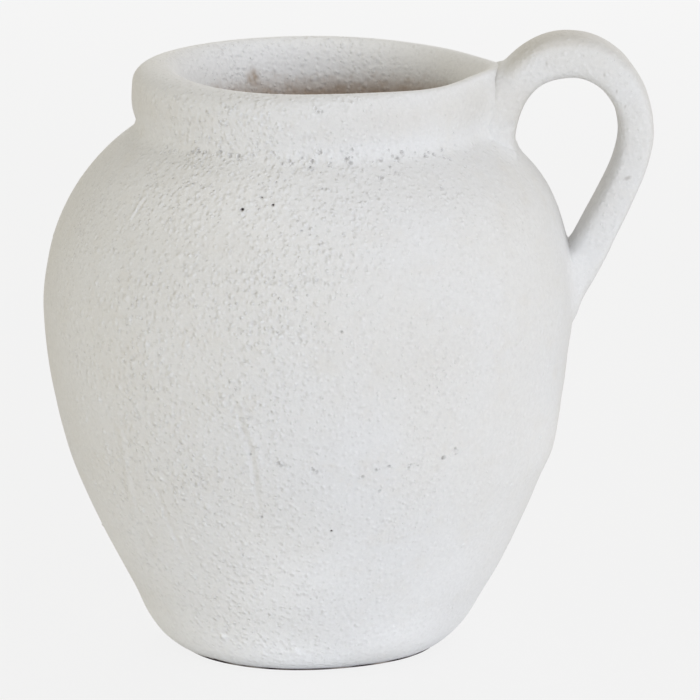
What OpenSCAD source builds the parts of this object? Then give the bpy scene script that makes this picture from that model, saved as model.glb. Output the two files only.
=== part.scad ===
// One-handled earthenware jug. Two thrown sections, a rolled collar and a pulled
// handle are separate pieces of clay, keyed together and luted with slip.
// Millimetres. The jug's axis is Z, the foot stands on z = 0 and the handle points to +X.

/* [Bowl and shoulder] */
// Diameter of the foot, where the straight line of the wall meets the ground
foot_d = 117; // [108:1:126]
// Greatest diameter, at the belly
belly_d = 212; // [200:1:224]
// Height of the greatest diameter
belly_z = 138; // [130:1:146]
// Radius of the profile's curve below the belly
belly_curve_r = 182; // [170:1:194]
// How far the shoulder's top edge stands out past the collar's widest line
shoulder_ledge = 0.3; // [0:0.1:2]
// Wall thickness, square to the surface
wall_t = 9; // [7:0.5:11]
// Thickness of the floor
floor_t = 11; // [8:0.5:14]
// Rounding of the foot's outer edge
foot_round = 14; // [8:0.5:18]
// Rounding inside, where the floor turns up into the wall
floor_round = 18; // [10:1:24]

/* [Luted joints] */
// Height of the joint between the bowl and the shoulder
seam_z = 94; // [70:1:110]
// Height of the joint between the shoulder and the collar
neck_z = 208; // [198:1:218]
// Thickness of the slip in every joint
slip_t = 1.2; // [0.8:0.1:2]
// Depth of the V key that is cut round each ring joint
key_depth = 2.5; // [1.5:0.5:3.5]
// Width of the V key
key_w = 4; // [3:0.5:5]

/* [Collar and mouth] */
// Thickness of the collar, from the throat out to its widest line
lip_t = 15; // [13:0.5:17]
// Height of the collar, from the neck joint to the rim
collar_h = 26; // [23:0.5:30]
// Radius of the collar's bulging outer face
collar_curve_r = 40; // [30:1:60]
// Height of the bulge's widest line below the rim
bulge_drop = 12.5; // [11:0.5:14]
// Rounding of the rolled rim
rim_round = 6.5; // [5:0.5:8]
// Slope of the lip, falling inwards from the rim, in degrees
lip_slope = 15; // [10:1:20]
// Diameter of the mouth's throat
throat_d = 112; // [104:1:120]
// How far the mouth lies off the jug's axis, towards the handle
mouth_shift = 6; // [0:0.5:7]
// Radius of the curve from the throat out to the lip
throat_curve_r = 10; // [9:0.5:13]
// Height of that curve's lower end below the rim
throat_drop = 7.5; // [6:0.5:8]

/* [Handle] */
// Height of the handle's crown above the rim
crown_rise = 13; // [9:0.5:18]
// Thickness of the handle at its crown
crown_t = 18; // [15:0.5:21]
// How far the crown stands out from the collar
crown_out = 32; // [28:0.5:38]
// How far the handle's outer side stands out from the belly
side_out = 29.5; // [24:0.5:36]
// Height of the outer side above the belly
side_rise = 70; // [64:1:76]
// Thickness of the handle at its outer side
side_t = 14.5; // [12:0.5:17]
// Width of the handle along its middle
handle_w = 27; // [22:0.5:32]
// Width of the upper root, on the collar
upper_root_w = 34; // [30:0.5:38]
// How far the upper root reaches down below the neck joint
upper_root_drop = 4; // [2:0.5:6]
// Width of the lower root, on the shoulder
lower_root_w = 31; // [28:0.5:36]
// Height of the lower root's middle above the belly
lower_root_rise = 10; // [6:0.5:14]
// Height of the lower root on the wall
lower_root_h = 40; // [36:1:46]
// How far the slip spreads past a root of the handle
slip_margin = 1.5; // [0.5:0.5:3]

/* [Curves of the handle] */
// How far the strap's two ends run on inside the clay that cuts them off
root_sink = 6; // [5:0.5:8]
// Slope at which the upper face leaves the collar, in degrees
upper_lift = 37; // [30:1:45]
// Pull of the upper face's curve, at the collar and at the crown
upper_pull = 15; // [12:0.5:18]
// How far the underside of the upper root stands out from the collar
gusset_out = 8.5; // [7:0.5:10]
// How far below the neck joint that underside starts
gusset_drop = 18; // [14:1:20]
// Pull of the underside's curve, at the shoulder and at the crown
gusset_pull = 19; // [15:0.5:22]
// Pull of both faces' curves below the outer side
side_pull = 16; // [12:0.5:20]
// Lean of the outer face at the lower root, from upright, in degrees
lower_lean = 26; // [22:1:30]
// How much steeper the inner face is there, in degrees
lower_taper = 8; // [4:1:12]
// Pull of the outer face's curve at the lower root
lower_outer_pull = 41; // [36:1:46]
// Pull of the inner face's curve at the lower root
lower_inner_pull = 26; // [22:1:30]
// How far below the lower root's middle the outer face's curve ends
lower_outer_drop = 27; // [24:1:30]
// How far above the lower root's middle the inner face's curve ends
lower_inner_rise = 4; // [0:1:8]

/* [Hidden] */
$fn = 96;

clay = "#e2e0da";
slip_clay = "#d3cec4";

// Steps along each of the handle's three curves, and sides of its section
handle_steps = 12;
handle_sides = 28;
// Exponent of the handle's section: 2 is an ellipse, more is squarer
section_power = 3;
// Length that cutting shapes run past what they cut
reach = 20;
// Where one curve of a section runs into the next they overlap by this much, so that no sliver is left
overlap = 0.01;

foot_r = foot_d / 2;
belly_r = belly_d / 2;
throat_r = throat_d / 2;
collar_r = throat_r + lip_t;
rim_z = neck_z + collar_h;

// The shoulder's curve leaves the belly upright and ends at the neck joint, just outside the collar
shoulder_in = belly_r - collar_r - shoulder_ledge;
shoulder_curve_r = (pow(shoulder_in, 2) + pow(neck_z - belly_z, 2)) / (2 * shoulder_in);

// Centres of the two curves of the wall, which meet upright at the belly
belly_c = [belly_r - belly_curve_r, belly_z];
shoulder_c = [belly_r - shoulder_curve_r, belly_z];

// Angle from upright of the straight wall, which runs from the foot and is tangent to the belly's curve
flare = atan2(belly_z, foot_r - belly_c.x) - acos(belly_curve_r / norm([foot_r - belly_c.x, belly_z]));

// Centres of the collar's bulge and of its rolled rim, and where the two curves meet
bulge_c = [collar_r - collar_curve_r, rim_z - bulge_drop];
rim_c = [
    bulge_c.x + sqrt(pow(collar_curve_r - rim_round, 2) - pow(bulge_drop - rim_round, 2)),
    rim_z - rim_round
];
rim_turn = atan2(rim_c.y - bulge_c.y, rim_c.x - bulge_c.x);

// Radius of the wall's outer face at height z, or of a face inset from it
function wall_r(z, inset = 0) =
    z >= belly_z ? shoulder_c.x + sqrt(pow(shoulder_curve_r - inset, 2) - pow(z - belly_z, 2))
    : z >= straight_top(inset).y ? belly_c.x + sqrt(pow(belly_curve_r - inset, 2) - pow(belly_z - z, 2))
    : straight_top(inset).x - (straight_top(inset).y - z) * tan(flare);

// Upper end of the straight wall, for a face inset from the outer one
function straight_top(inset) = belly_c + (belly_curve_r - inset) * heading(-flare);

// A direction in the section's plane
function heading(a) = [cos(a), sin(a)];

// Half section of the turned body without its collar, up to the top of the shoulder's curve.
// The face is inset from the outer one, the bottom is flat at height floor_z and its edge has radius edge_r.
module turned_section(inset, floor_z, edge_r) {
    top = straight_top(inset);
    edge_z = floor_z + edge_r;
    // The edge's circle touches the bottom and the straight wall
    edge_c = [top.x - (top.y - edge_z) * tan(flare) - edge_r / cos(flare), edge_z];
    edge_end = edge_c + edge_r * heading(-flare);
    far = belly_r + reach;
    intersection() {
        translate(shoulder_c) circle(shoulder_curve_r - inset);
        translate([0, belly_z]) square([far, shoulder_curve_r]);
    }
    // Inside the centre of the shoulder's curve the section is level with the top of that curve
    translate([0, belly_z]) square([max(shoulder_c.x, overlap), shoulder_curve_r - inset - overlap]);
    intersection() {
        translate(belly_c) circle(belly_curve_r - inset);
        translate([0, top.y - reach / 2]) square([far, belly_z - top.y + reach / 2]);
    }
    straight_end = top - overlap * heading(-flare);
    polygon([[0, floor_z], [edge_c.x, floor_z], edge_c, edge_end, straight_end, [0, top.y]]);
    intersection() {
        translate(edge_c) circle(edge_r + overlap);
        translate([0, floor_z]) square([far, 2 * edge_r]);
    }
}

// Half section of the collar before the mouth is cut, grown by a margin, down to height low_z.
// It is hollow inside the radius in_r.
module collar_section(grow, low_z, in_r) {
    lip_out = rim_c + (rim_round + grow) * heading(90 + lip_slope);
    lip_in = [in_r, lip_out.y - (lip_out.x - in_r) * tan(lip_slope)];
    far = collar_r + reach;
    intersection() {
        translate(bulge_c) circle(collar_curve_r + grow);
        polygon([[rim_c.x, low_z], [far, low_z], rim_c + far * heading(rim_turn), rim_c]);
    }
    translate(rim_c) circle(rim_round + grow + overlap);
    polygon([[in_r, low_z], [rim_c.x, low_z], rim_c, lip_out, lip_in]);
}

// Half section of the whole jug as a solid, grown by a margin
module jug_section(grow) {
    difference() {
        turned_section(-grow, -grow, foot_round + grow);
        translate([0, neck_z + slip_t + grow]) square([belly_r, shoulder_curve_r]);
    }
    collar_section(grow, neck_z, 0);
}

// Half section of the wall between its outer and inner faces
module wall_section() {
    difference() {
        turned_section(0, 0, foot_round);
        turned_section(wall_t, floor_t, floor_round);
    }
}

// Everything below a ring joint at height z, whose V key is centred on radius r
module below_joint(r, z) {
    far = belly_r + reach;
    polygon([
        [0, -reach], [far, -reach], [far, z],
        [r + key_w / 2, z], [r, z - key_depth], [r - key_w / 2, z], [0, z]
    ]);
}

seam_r = (wall_r(seam_z) + wall_r(seam_z, wall_t)) / 2;
// The collar's key is in the middle of its seat, where the seat is narrowest
seat_r = bulge_c.x + sqrt(pow(collar_curve_r, 2) - pow(bulge_c.y - neck_z - slip_t, 2));
neck_r = (seat_r + throat_r + mouth_shift) / 2;

module below_seam(lift) {
    below_joint(seam_r, seam_z + lift);
}

module below_neck(lift) {
    below_joint(neck_r, neck_z + lift);
}

// The bore of the mouth, from inside the shoulder out over the lip
module mouth_cut() {
    low_z = neck_z - reach;
    curve_z = rim_z - throat_drop;
    curve_out = throat_r + throat_curve_r;
    translate([mouth_shift, 0, 0]) rotate_extrude() {
        translate([0, low_z]) square([throat_r, rim_z - low_z]);
        difference() {
            translate([0, curve_z]) square([curve_out, throat_curve_r]);
            translate([curve_out, curve_z]) circle(throat_curve_r);
        }
    }
}

// Pieces of the body
module bowl() {
    color(clay) rotate_extrude() intersection() {
        wall_section();
        below_seam(0);
    }
}

module belly_slip() {
    color(slip_clay) rotate_extrude() difference() {
        intersection() {
            wall_section();
            below_seam(slip_t);
        }
        below_seam(0);
    }
}

module shoulder() {
    color(clay) difference() {
        rotate_extrude() difference() {
            intersection() {
                wall_section();
                below_neck(0);
            }
            below_seam(slip_t);
        }
        mouth_cut();
    }
}

module neck_slip() {
    color(slip_clay) difference() {
        rotate_extrude() difference() {
            intersection() {
                wall_section();
                below_neck(slip_t);
            }
            below_neck(0);
        }
        mouth_cut();
    }
}

module collar() {
    color(clay) difference() {
        rotate_extrude() difference() {
            collar_section(0, neck_z - key_depth, throat_r - mouth_shift - rim_round);
            below_neck(slip_t);
        }
        mouth_cut();
    }
}

// Point at t on a cubic curve with the control points p
function curve_point(p, t) =
    pow(1 - t, 3) * p[0] + 3 * pow(1 - t, 2) * t * p[1] + 3 * (1 - t) * t * t * p[2] + pow(t, 3) * p[3];

// A quarter of an ellipse as a cubic curve, from level at one point to upright at another
function quarter(from, to) =
    let (bend = 0.552)
    [from, [from.x + bend * (to.x - from.x), from.y], [to.x, to.y + bend * (from.y - to.y)], to];

// The handle is lofted between an outer and an inner rail in the XZ plane. Each rail has a curve from
// inside the collar to the crown, one from the crown to the outer side, and one from there into the wall.
crown = [collar_r + crown_out, rim_z + crown_rise];
side = [belly_r + side_out, belly_z + side_rise];
root_z = belly_z + lower_root_rise;
outer_start = [collar_r - root_sink, rim_z - root_sink];
outer_end = [belly_r - root_sink, root_z - lower_outer_drop];
outer_rail = [
    [outer_start, outer_start + upper_pull * heading(upper_lift), crown - [upper_pull, 0], crown],
    quarter(crown, side),
    [side, side - [0, side_pull], outer_end + lower_outer_pull * heading(90 - lower_lean), outer_end]
];
inner_start = [collar_r + gusset_out, neck_z - gusset_drop];
inner_crown = crown - [0, crown_t];
inner_side = side - [side_t, 0];
inner_end = [belly_r - root_sink, root_z + lower_inner_rise];
inner_heading = heading(90 - lower_lean + lower_taper);
inner_rail = [
    [inner_start, inner_start + [0, gusset_pull], inner_crown - [gusset_pull, 0], inner_crown],
    quarter(inner_crown, inner_side),
    [inner_side, inner_side - [0, side_pull], inner_end + lower_inner_pull * inner_heading, inner_end]
];
rail_widths = [upper_root_w, handle_w, handle_w, lower_root_w];

// Width at t along one of the handle's three curves, easing from one station to the next
function rail_width(i, t) =
    rail_widths[i] + (rail_widths[i + 1] - rail_widths[i]) * t * t * (3 - 2 * t);

// One coordinate of a superellipse of half-size 1
function superellipse(c) = sign(c) * pow(abs(c), 2 / section_power);

// Section of the handle at t along curve i: its ends are on the two rails, and it is square to their plane
function handle_ring(i, t) =
    let (
        outer = curve_point(outer_rail[i], t),
        inner = curve_point(inner_rail[i], t),
        middle = (outer + inner) / 2,
        half = (outer - inner) / 2,
        half_w = rail_width(i, t) / 2
    )
    [for (k = [0 : handle_sides - 1])
        let (
            a = 360 * k / handle_sides,
            p = middle + half * superellipse(cos(a))
        )
        [p.x, half_w * superellipse(sin(a)), p.y]
    ];

// A closed solid through rings that have the same number of points
module loft(rings) {
    n = len(rings[0]);
    last = len(rings) - 1;
    polyhedron(
        points = [for (ring = rings) each ring],
        faces = [
            [for (k = [n - 1 : -1 : 0]) k],
            for (j = [0 : last - 1], k = [0 : n - 1])
                let (next = (k + 1) % n)
                each [
                    [j * n + k, j * n + next, (j + 1) * n + next],
                    [j * n + k, (j + 1) * n + next, (j + 1) * n + k]
                ],
            [for (k = [0 : n - 1]) last * n + k]
        ]
    );
}

module handle() {
    rings = [
        for (i = [0 : 2], s = [(i == 0 ? 0 : 1) : handle_steps]) handle_ring(i, s / handle_steps)
    ];
    // The strap runs on into the crease under the collar, where the jug cuts it off
    sunk = [for (p = rings[0]) p - [2 * root_sink, 0, 0]];
    color(clay) difference() {
        loft(concat([sunk], rings));
        rotate_extrude() jug_section(slip_t);
    }
}

// A skin of slip on the jug beyond x, inside an upright oval of size w by h whose middle is at height z
module root_slip(x, w, h, z) {
    color(slip_clay) intersection() {
        difference() {
            rotate_extrude() jug_section(slip_t);
            rotate_extrude() jug_section(0);
        }
        translate([x, 0, z]) rotate([90, 0, 90]) linear_extrude(belly_r + side_out)
            polygon([for (k = [0 : handle_sides - 1])
                let (a = 360 * k / handle_sides)
                [superellipse(cos(a)) * (w / 2 + slip_margin), superellipse(sin(a)) * (h / 2 + slip_margin)]
            ]);
    }
}

module upper_root_slip() {
    low = neck_z - upper_root_drop;
    root_slip(rim_c.x + slip_t, upper_root_w, rim_z - low, (rim_z + low) / 2);
}

module lower_root_slip() {
    root_slip(collar_r, lower_root_w, lower_root_h, root_z);
}

bowl();
belly_slip();
shoulder();
neck_slip();
collar();
handle();
upper_root_slip();
lower_root_slip();
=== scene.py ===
import math
import random

import bpy
import bmesh
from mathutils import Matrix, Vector, noise
from mathutils.geometry import interpolate_bezier
from mathutils.kdtree import KDTree


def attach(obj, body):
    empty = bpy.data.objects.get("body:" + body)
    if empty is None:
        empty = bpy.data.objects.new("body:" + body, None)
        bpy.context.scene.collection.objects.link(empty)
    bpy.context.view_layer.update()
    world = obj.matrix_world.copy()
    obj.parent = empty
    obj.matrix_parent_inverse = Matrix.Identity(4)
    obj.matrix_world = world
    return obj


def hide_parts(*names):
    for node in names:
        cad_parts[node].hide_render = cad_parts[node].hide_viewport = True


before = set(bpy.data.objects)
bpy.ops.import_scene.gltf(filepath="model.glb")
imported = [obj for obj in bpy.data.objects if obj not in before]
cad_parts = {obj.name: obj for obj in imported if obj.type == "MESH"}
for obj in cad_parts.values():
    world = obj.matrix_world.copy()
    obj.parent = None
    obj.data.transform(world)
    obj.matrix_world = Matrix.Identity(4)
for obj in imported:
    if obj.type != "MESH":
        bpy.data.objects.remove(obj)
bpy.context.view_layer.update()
scene = bpy.context.scene
scene.view_settings.view_transform = "Standard"


# camera, set to the photograph's angle

viewCamera = {
    "target": (0.01599, 0.0, 0.11835),
    "distance": 2.106,
    "tilt": 12.987,  # degrees above the horizon
    "lens": 270.77,
    "sensor": 36.0,
    "farthest": 30.0,
}


def placeCamera():
    tilt = math.radians(viewCamera["tilt"])
    back = Vector((0, -math.cos(tilt), math.sin(tilt))) * viewCamera["distance"]
    lens = bpy.data.cameras.new("viewCamera")
    lens.lens = viewCamera["lens"]
    lens.sensor_width = viewCamera["sensor"]
    lens.clip_end = viewCamera["farthest"]
    camera = bpy.data.objects.new("viewCamera", lens)
    camera.location = Vector(viewCamera["target"]) + back
    camera.rotation_euler = (math.pi / 2 - tilt, 0, 0)
    scene.collection.objects.link(camera)
    scene.camera = camera


placeCamera()
print("camera placed")


# the jug's own sizes, in millimetres; meshes are drawn in them and scaled at the end

jug = {
    "bellyRadius": 106.0,
    "bellyHeight": 138.0,
    "bellyCurve": 182.0,
    "shoulderCurve": 87.955,
    "flare": 26.55,  # slope of the straight lower wall, degrees from upright
    "wall": 9.0,
    "seam": 94.0,  # bowl to shoulder
    "neck": 208.0,  # shoulder to collar
    "slip": 1.2,
    "collarCentre": (31.0, 221.5),
    "collarCurve": 40.0,
    "throat": 54.0,
    "throatShift": 7.5,  # the mouth lies off the axis, towards the handle
    "mouthPoint": 6.5,  # how far the mouth is drawn out to a point at the handle
    "pointSpread": 16.0,  # degrees
    "pointRise": (211, 229),  # heights over which the collar's outer face comes to take part
    "throatPoint": 0.35,  # share of the point that the throat takes part in
    "keyDepth": 2.5,
    "keyWidth": 4.0,
    "neckKey": 65.8,  # radius of the key under the collar
    "waver": [(0.38, 0.028), (0.16, 0.075)],  # the hand's unevenness: millimetres, scale of the noise
    "turns": 480,  # steps of a full spin
    "pitch": 1.3,  # rows of the outer faces
    "innerPitch": 4.0,
    "seatPitch": 5.0,
    "weld": 0.02,
    "crease": 55.0,  # an edge bent further than this is shown sharp, degrees
}
toMetres = 0.001
flare = math.radians(jug["flare"])
bellyX, bellyZ = jug["bellyRadius"] - jug["bellyCurve"], jug["bellyHeight"]
shoulderX = jug["bellyRadius"] - jug["shoulderCurve"]


def wallRadius(z, inset=0.0):
    up = z - bellyZ
    if up >= 0:
        curve = jug["shoulderCurve"]
    else:
        curve = jug["bellyCurve"]
        top = -(curve - inset) * math.sin(flare)
        if up < top:
            edge = jug["bellyRadius"] - curve + (curve - inset) * math.cos(flare)
            return edge - (top - up) * math.tan(flare)
    return jug["bellyRadius"] - curve + math.sqrt(max((curve - inset) ** 2 - up * up, 0))


def collarRadius(z):
    across, height = jug["collarCentre"]
    return across + math.sqrt(max(jug["collarCurve"] ** 2 - (z - height) ** 2, 0))


# the fillet of slip under the collar touches the shoulder's curve and the collar's bulge
fillet = {"radius": 8.0}


def filletArc():
    radius = fillet["radius"]
    low = Vector((jug["bellyRadius"] - jug["shoulderCurve"], bellyZ))
    high = Vector(jug["collarCentre"])
    fromLow, fromHigh = jug["shoulderCurve"] + radius, jug["collarCurve"] + radius
    apart = (high - low).length
    along = (fromLow ** 2 - fromHigh ** 2 + apart ** 2) / (2 * apart)
    way = (high - low).normalized()
    centre = low + way * along + Vector((way.y, -way.x)) * math.sqrt(fromLow ** 2 - along ** 2)
    lowEnd = centre + (low - centre).normalized() * radius
    highEnd = centre + (high - centre).normalized() * radius
    return centre, lowEnd, highEnd


filletCentre, filletLow, filletHigh = filletArc()


def outerRadius(z):
    if filletLow.y < z < filletHigh.y:
        return filletCentre.x - math.sqrt(fillet["radius"] ** 2 - (z - filletCentre.y) ** 2)
    return wallRadius(z) if z < filletCentre.y else collarRadius(z)


def clamp(x, low, high):
    return min(max(x, low), high)


def ease(low, high, x):
    t = clamp((x - low) / (high - low), 0, 1)
    return t * t * (3 - 2 * t)


def angleOf(co):
    return math.degrees(math.atan2(co.y, co.x))


def acrossOf(co):
    return math.hypot(co.x, co.y)


def outward(co):
    return Vector((co.x, co.y, 0)).normalized()


def turnFrom(angle, side):
    return (angle - side + 180) % 360 - 180


def sideShare(angle, side, spread):
    # 1 at that side of the jug, falling away round it
    return math.exp(-(turnFrom(angle, side) / spread) ** 2)


def spotShare(co, side, spread, height, tall):
    return math.exp(-(turnFrom(angleOf(co), side) / spread) ** 2 - ((co.z - height) / tall) ** 2)


def ripple(co, waves):
    return sum(tall * noise.noise(co * scale) for tall, scale in waves)


def patchy(co, share, scale, start=(0, 0, 0)):
    return 1 + share * noise.noise(co * scale + Vector(start))


def mouthDrawn(angle):
    return jug["mouthPoint"] * sideShare(angle, 0, jug["pointSpread"])


def faceDrawn(z):
    # share of it that the collar's outer face takes part in
    return ease(*jug["pointRise"], z)


# where the hand-made wall leaves the true turned form: angle, its spread, height, its spread, push out
handBumps = [
    (0, 62, 188, 17, 2.6),
    (0, 48, 117, 18, -1.8),
    (0, 45, 98, 9, -0.7),
    (0, 45, 80, 7, 0.9),
    (-8, 60, 40, 20, 1.5),
    (-10, 40, 3, 6, -2.4),
    (-62, 24, 0, 7, -1.6),
    (-84, 44, 0, 6, -3.0),
    (180, 45, 180, 22, 0.5),
    (180, 45, 42, 24, 1.1),
    (180, 38, 14, 7, 0.9),
    (180, 30, 1, 5, -1.8),
    (180, 40, 100, 14, -0.5),
    (180, 60, 224, 12, -0.7),
    (180, 32, 211.5, 5, -1.2),
]


def handPush(co):
    push = 0
    for side, spread, height, tall, out in handBumps:
        push += out * spotShare(co, side, spread, height, tall)
    return push + ripple(co, jug["waver"])


def onWall(angle, z):
    turn = math.radians(angle)
    out = Vector((math.cos(turn), math.sin(turn), 0))
    spot = out * outerRadius(z) + Vector((0, 0, z))
    return spot + out * handPush(spot)


# profile and lathe helpers

def inPlane(points):
    return [Vector((x, 0, z)) for x, z in points]


class profilePen:
    def __init__(self, bm, x, z):
        self.bm = bm
        self.vert = bmesh.ops.create_vert(bm, co=(x, 0, z))["vert"][0]

    def step(self, co):
        self.vert = bmesh.ops.extrude_vert_indiv(self.bm, verts=[self.vert])["verts"][0]
        self.vert.co = co

    def line(self, x, z, pitch):
        start, end = self.vert.co.copy(), Vector((x, 0, z))
        steps = max(round((end - start).length / pitch), 1)
        for k in range(steps):
            self.step(start.lerp(end, (k + 1) / steps))

    def arc(self, x, z, degrees, pitch):
        radius = (self.vert.co - Vector((x, 0, z))).length
        steps = max(round(radius * math.radians(abs(degrees)) / pitch), 2)
        swept = bmesh.ops.spin(
            self.bm, geom=[self.vert], cent=(x, 0, z), axis=(0, -1, 0), dvec=(0, 0, 0),
            angle=math.radians(degrees), steps=steps, use_merge=False,
            use_normal_flip=False, use_duplicate=False)
        self.vert = [g for g in swept["geom_last"] if isinstance(g, bmesh.types.BMVert)][0]

    def curve(self, near, far, end, steps):
        for co in interpolate_bezier(self.vert.co, *inPlane((near, far, end)), steps + 1)[1:]:
            self.step(co)


sortWay = Vector((0.7311, 0.3820, 0.5772))  # along no axis, so that no two points lie level


def lathe(bm):
    bmesh.ops.remove_doubles(bm, verts=bm.verts, dist=jug["weld"])
    bmesh.ops.spin(
        bm, geom=bm.verts[:] + bm.edges[:], cent=(0, 0, 0), axis=(0, 0, 1), dvec=(0, 0, 0),
        angle=math.tau, steps=jug["turns"], use_merge=True,
        use_normal_flip=False, use_duplicate=False)
    bmesh.ops.remove_doubles(bm, verts=bm.verts, dist=jug["weld"])
    bmesh.ops.recalc_face_normals(bm, faces=bm.faces)
    # spin leaves another order at each run
    bm.verts.sort(key=lambda vert: vert.co.dot(sortWay))
    bm.edges.sort(key=lambda edge: (edge.verts[0].co + edge.verts[1].co).dot(sortWay))
    bm.faces.sort(key=lambda face: face.calc_center_median().dot(sortWay))
    for parts in (bm.verts, bm.edges, bm.faces):
        parts.index_update()


def floatLayers(bm, *names):
    layers = bm.verts.layers.float
    for name in names:
        if name not in layers.keys():
            layers.new(name)
    return [layers[name] for name in names]


def wholeTree(points):
    tree = KDTree(len(points))
    for i, co in enumerate(points):
        tree.insert(co, i)
    tree.balance()
    return tree


def finishPiece(bm, name, nodes, material):
    for face in bm.faces:
        face.smooth = True
    for edge in bm.edges:
        if len(edge.link_faces) == 2 and edge.calc_face_angle(0) > math.radians(jug["crease"]):
            edge.smooth = False
    bmesh.ops.scale(bm, vec=(toMetres, toMetres, toMetres), verts=bm.verts)
    mesh = bpy.data.meshes.new(name)
    bm.to_mesh(mesh)
    bm.free()
    piece = bpy.data.objects.new(name, mesh)
    scene.collection.objects.link(piece)
    mesh.materials.append(material)
    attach(piece, "root")
    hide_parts(*nodes)
    print(name, len(mesh.vertices), "points", sum(len(p.vertices) - 2 for p in mesh.polygons), "triangles")


# marks on the skin: angle, height, radius, depth

marks = {
    "neckPits": [
        (-141.2, 209.2, 0.8, 0.5), (-137.2, 208.8, 0.7, 0.5), (-129.0, 209.2, 0.7, 0.6),
        (-127.2, 210.2, 0.9, 0.7), (-124.0, 210.2, 0.7, 0.6), (-118.5, 210.8, 0.8, 0.8),
        (-115.0, 209.8, 0.8, 0.6), (-112.2, 210.0, 0.9, 0.8), (-107.5, 210.5, 0.7, 0.5),
        (-101.2, 211.8, 0.8, 0.5), (-95.8, 209.0, 0.9, 0.7), (-89.5, 206.8, 0.8, 0.9),
        (-88.8, 209.0, 0.9, 0.8), (-86.2, 212.2, 0.8, 0.7), (-83.2, 208.2, 0.7, 0.6),
        (-78.2, 209.5, 0.9, 0.8), (-77.0, 208.0, 1.0, 0.9), (-76.2, 212.8, 0.7, 0.6),
        (-67.2, 208.2, 0.8, 0.7), (-63.0, 209.5, 0.7, 0.6), (-59.5, 210.5, 0.9, 0.8),
        (-61.3, 208.5, 0.8, 0.8), (-65.0, 206.0, 0.7, 0.7), (-51.0, 208.0, 0.8, 0.7),
        (-47.8, 208.2, 0.8, 0.8), (-43.5, 209.2, 0.7, 0.7), (-44.5, 206.5, 0.7, 0.7),
        (-42.8, 205.5, 0.8, 0.8), (-39.5, 202.5, 0.7, 0.6), (-52.2, 197.5, 0.7, 0.7),
        (-68.8, 202.8, 0.8, 0.8), (-64.0, 204.2, 0.7, 0.6),
    ],
    "collarPits": [
        (-87.8, 229.5, 0.9, 0.6), (-87.0, 228.0, 0.7, 0.6), (-85.8, 228.0, 0.7, 0.6),
        (-85.8, 231.0, 0.7, 0.5),
    ],
    "seamPits": [
        (-96.5, 97.2, 0.9, 0.7), (-96.0, 96.0, 0.8, 0.6), (-94.0, 95.8, 0.6, 0.5),
        (-89.0, 94.5, 0.9, 0.7), (-88.2, 93.8, 0.8, 0.6), (-78.0, 91.0, 0.9, 0.8),
        (-75.0, 93.5, 0.8, 0.7), (-72.0, 94.8, 0.7, 0.6), (-67.5, 93.2, 0.7, 0.6),
        (-67.0, 94.5, 0.7, 0.6), (-65.2, 93.8, 0.6, 0.5), (-59.0, 95.8, 1.0, 0.9),
        (-56.2, 98.8, 0.8, 0.7), (-55.8, 96.5, 0.6, 0.6), (-74.0, 84.5, 0.7, 0.6),
    ],
    "pinholes": [
        (-106.8, 192.5, 0.95, 1.5), (-99.0, 194.5, 0.75, 1.1), (-102.2, 196.8, 0.5, 0.9),
        (-84.5, 68.0, 0.6, 0.9),
    ],
    "faintPits": [
        (-83.0, 149.5, 0.6, 0.9), (-107.3, 55.8, 0.6, 0.6), (-112.8, 73.5, 0.5, 0.6),
        (-99.0, 202.0, 0.6, 0.8), (-86.2, 200.0, 0.6, 0.8), (-91.5, 186.0, 0.6, 0.7),
        (-70.5, 199.0, 0.6, 0.7), (-168.0, 81.5, 0.8, 1.0), (-101.0, 73.8, 0.7, 0.9),
        (-102.6, 100.4, 0.6, 0.7),
    ],
    "grains": [
        (-111.8, 73.5, 1.2, -0.5), (-116.0, 68.0, 1.3, -0.5), (-120.8, 60.5, 1.4, -0.6),
        (-119.8, 59.5, 1.0, -0.5), (-129.0, 53.0, 1.2, -0.5), (-127.7, 50.2, 1.2, -0.5),
        (-107.8, 55.0, 1.4, -0.5), (-127.0, 97.5, 1.2, -0.5), (-138.2, 90.0, 1.5, -0.6),
        (-133.8, 98.8, 1.2, -0.5), (-120.5, 15.5, 2.2, -0.85), (-95.0, 11.5, 2.6, -0.75),
        (-106.2, 74.0, 1.0, -0.4), (-107.8, 69.5, 1.0, -0.4), (-87.5, 53.8, 1.5, -0.4),
        (-73.2, 49.5, 1.2, -0.4), (-132.3, 156.6, 1.9, -0.7), (-134.1, 159.3, 1.4, -0.5),
        (-131.1, 149.0, 1.7, -0.6), (-133.5, 144.2, 1.5, -0.5), (-125.8, 140.2, 1.5, -0.6),
        (-142.9, 89.1, 1.6, -0.6), (-140.9, 88.4, 1.4, -0.5),
    ],
}

# lines drawn by a tool or a run of slip: half width, depth, points as angle and height
strokes = [
    (1.9, 0.45, [(-106, 124), (-104.5, 114), (-103.2, 106), (-102.5, 101), (-102, 92), (-101.8, 83),
                 (-101, 74.5)]),
    (2.4, -0.35, [(-104.6, 124), (-103.0, 114), (-101.6, 106), (-100.8, 101), (-100.4, 92), (-100.2, 83)]),
    (2.4, 0.45, [(-128.8, 88.5), (-127.2, 76.2), (-126.3, 63.2), (-125.5, 50)]),
    (3.0, -0.5, [(-134.8, 115.8), (-135.5, 103), (-135, 93), (-136.8, 77.5), (-137.8, 64.2)]),
    (1.3, 0.35, [(-82.2, 32.5), (-79, 30), (-77, 25.2), (-74, 21)]),
    (1.2, -0.45, [(-136.4, 194.6), (-137.2, 188.8), (-137.9, 183.3)]),
    (1.0, 0.4, [(-135.4, 194.4), (-136.2, 189.2), (-136.9, 184.3)]),
]

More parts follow.
